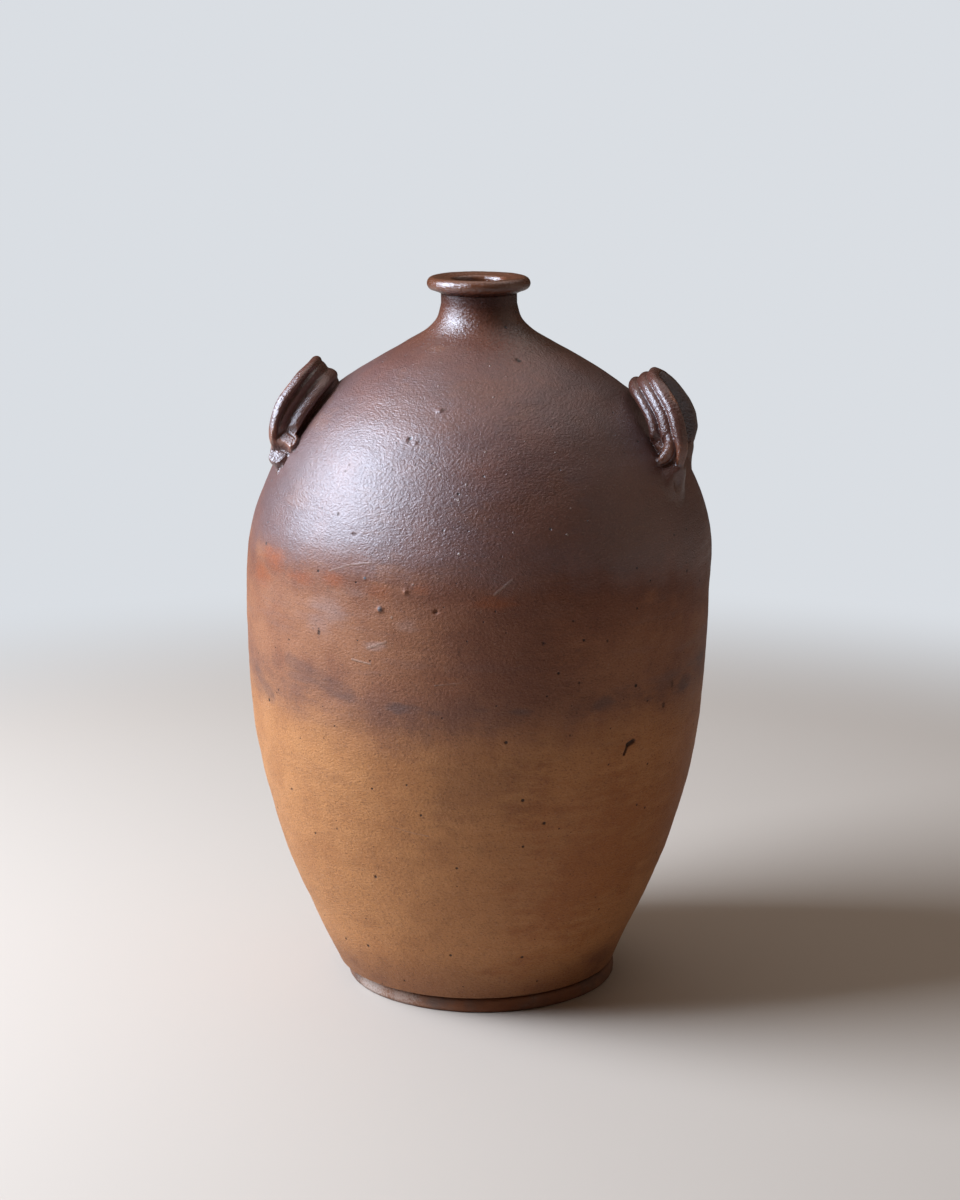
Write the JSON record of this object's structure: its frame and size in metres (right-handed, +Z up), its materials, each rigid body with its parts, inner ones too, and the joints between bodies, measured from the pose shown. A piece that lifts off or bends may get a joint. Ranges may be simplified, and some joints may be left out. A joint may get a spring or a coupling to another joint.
{
  "type": "stoneware storage jar",
  "caption": "Tall thrown stoneware jar with a narrow rolled mouth, a low foot band and ribbed strap handles on the shoulder, for storing liquids.",
  "frame": {"origin": "centre of the flat underside, on the surface that the jar stands on", "axes": "+Z up along the throwing axis, left handle on -X, right handle 6 degrees from +X towards -Y, front towards -Y"},
  "size_m": [0.3896, 0.3896, 0.6],
  "materials": {
    "bare_clay": "bare fired clay, grey brown, matte and gritty",
    "tan_glaze": "thin satin tan to orange glaze with speckles and pits",
    "red_brown_glaze": "satin red-brown glaze with a smoky purple band",
    "dark_glaze": "semi-gloss dark purple-brown glaze with orange peel"
  },
  "bodies": {
    "root": {"base_slab": "bare_clay", "foot_ring": "bare_clay", "lower_wall": "tan_glaze", "belly_wall": "red_brown_glaze", "shoulder_dome": "dark_glaze", "neck_collar": "dark_glaze", "rim_roll": "dark_glaze", "right_handle_strap": "dark_glaze", "right_front_terminal": "dark_glaze", "right_back_terminal": "dark_glaze", "left_handle_strap": "dark_glaze", "left_front_terminal": "dark_glaze", "left_back_terminal": "dark_glaze"}
  },
  "joints": []
}
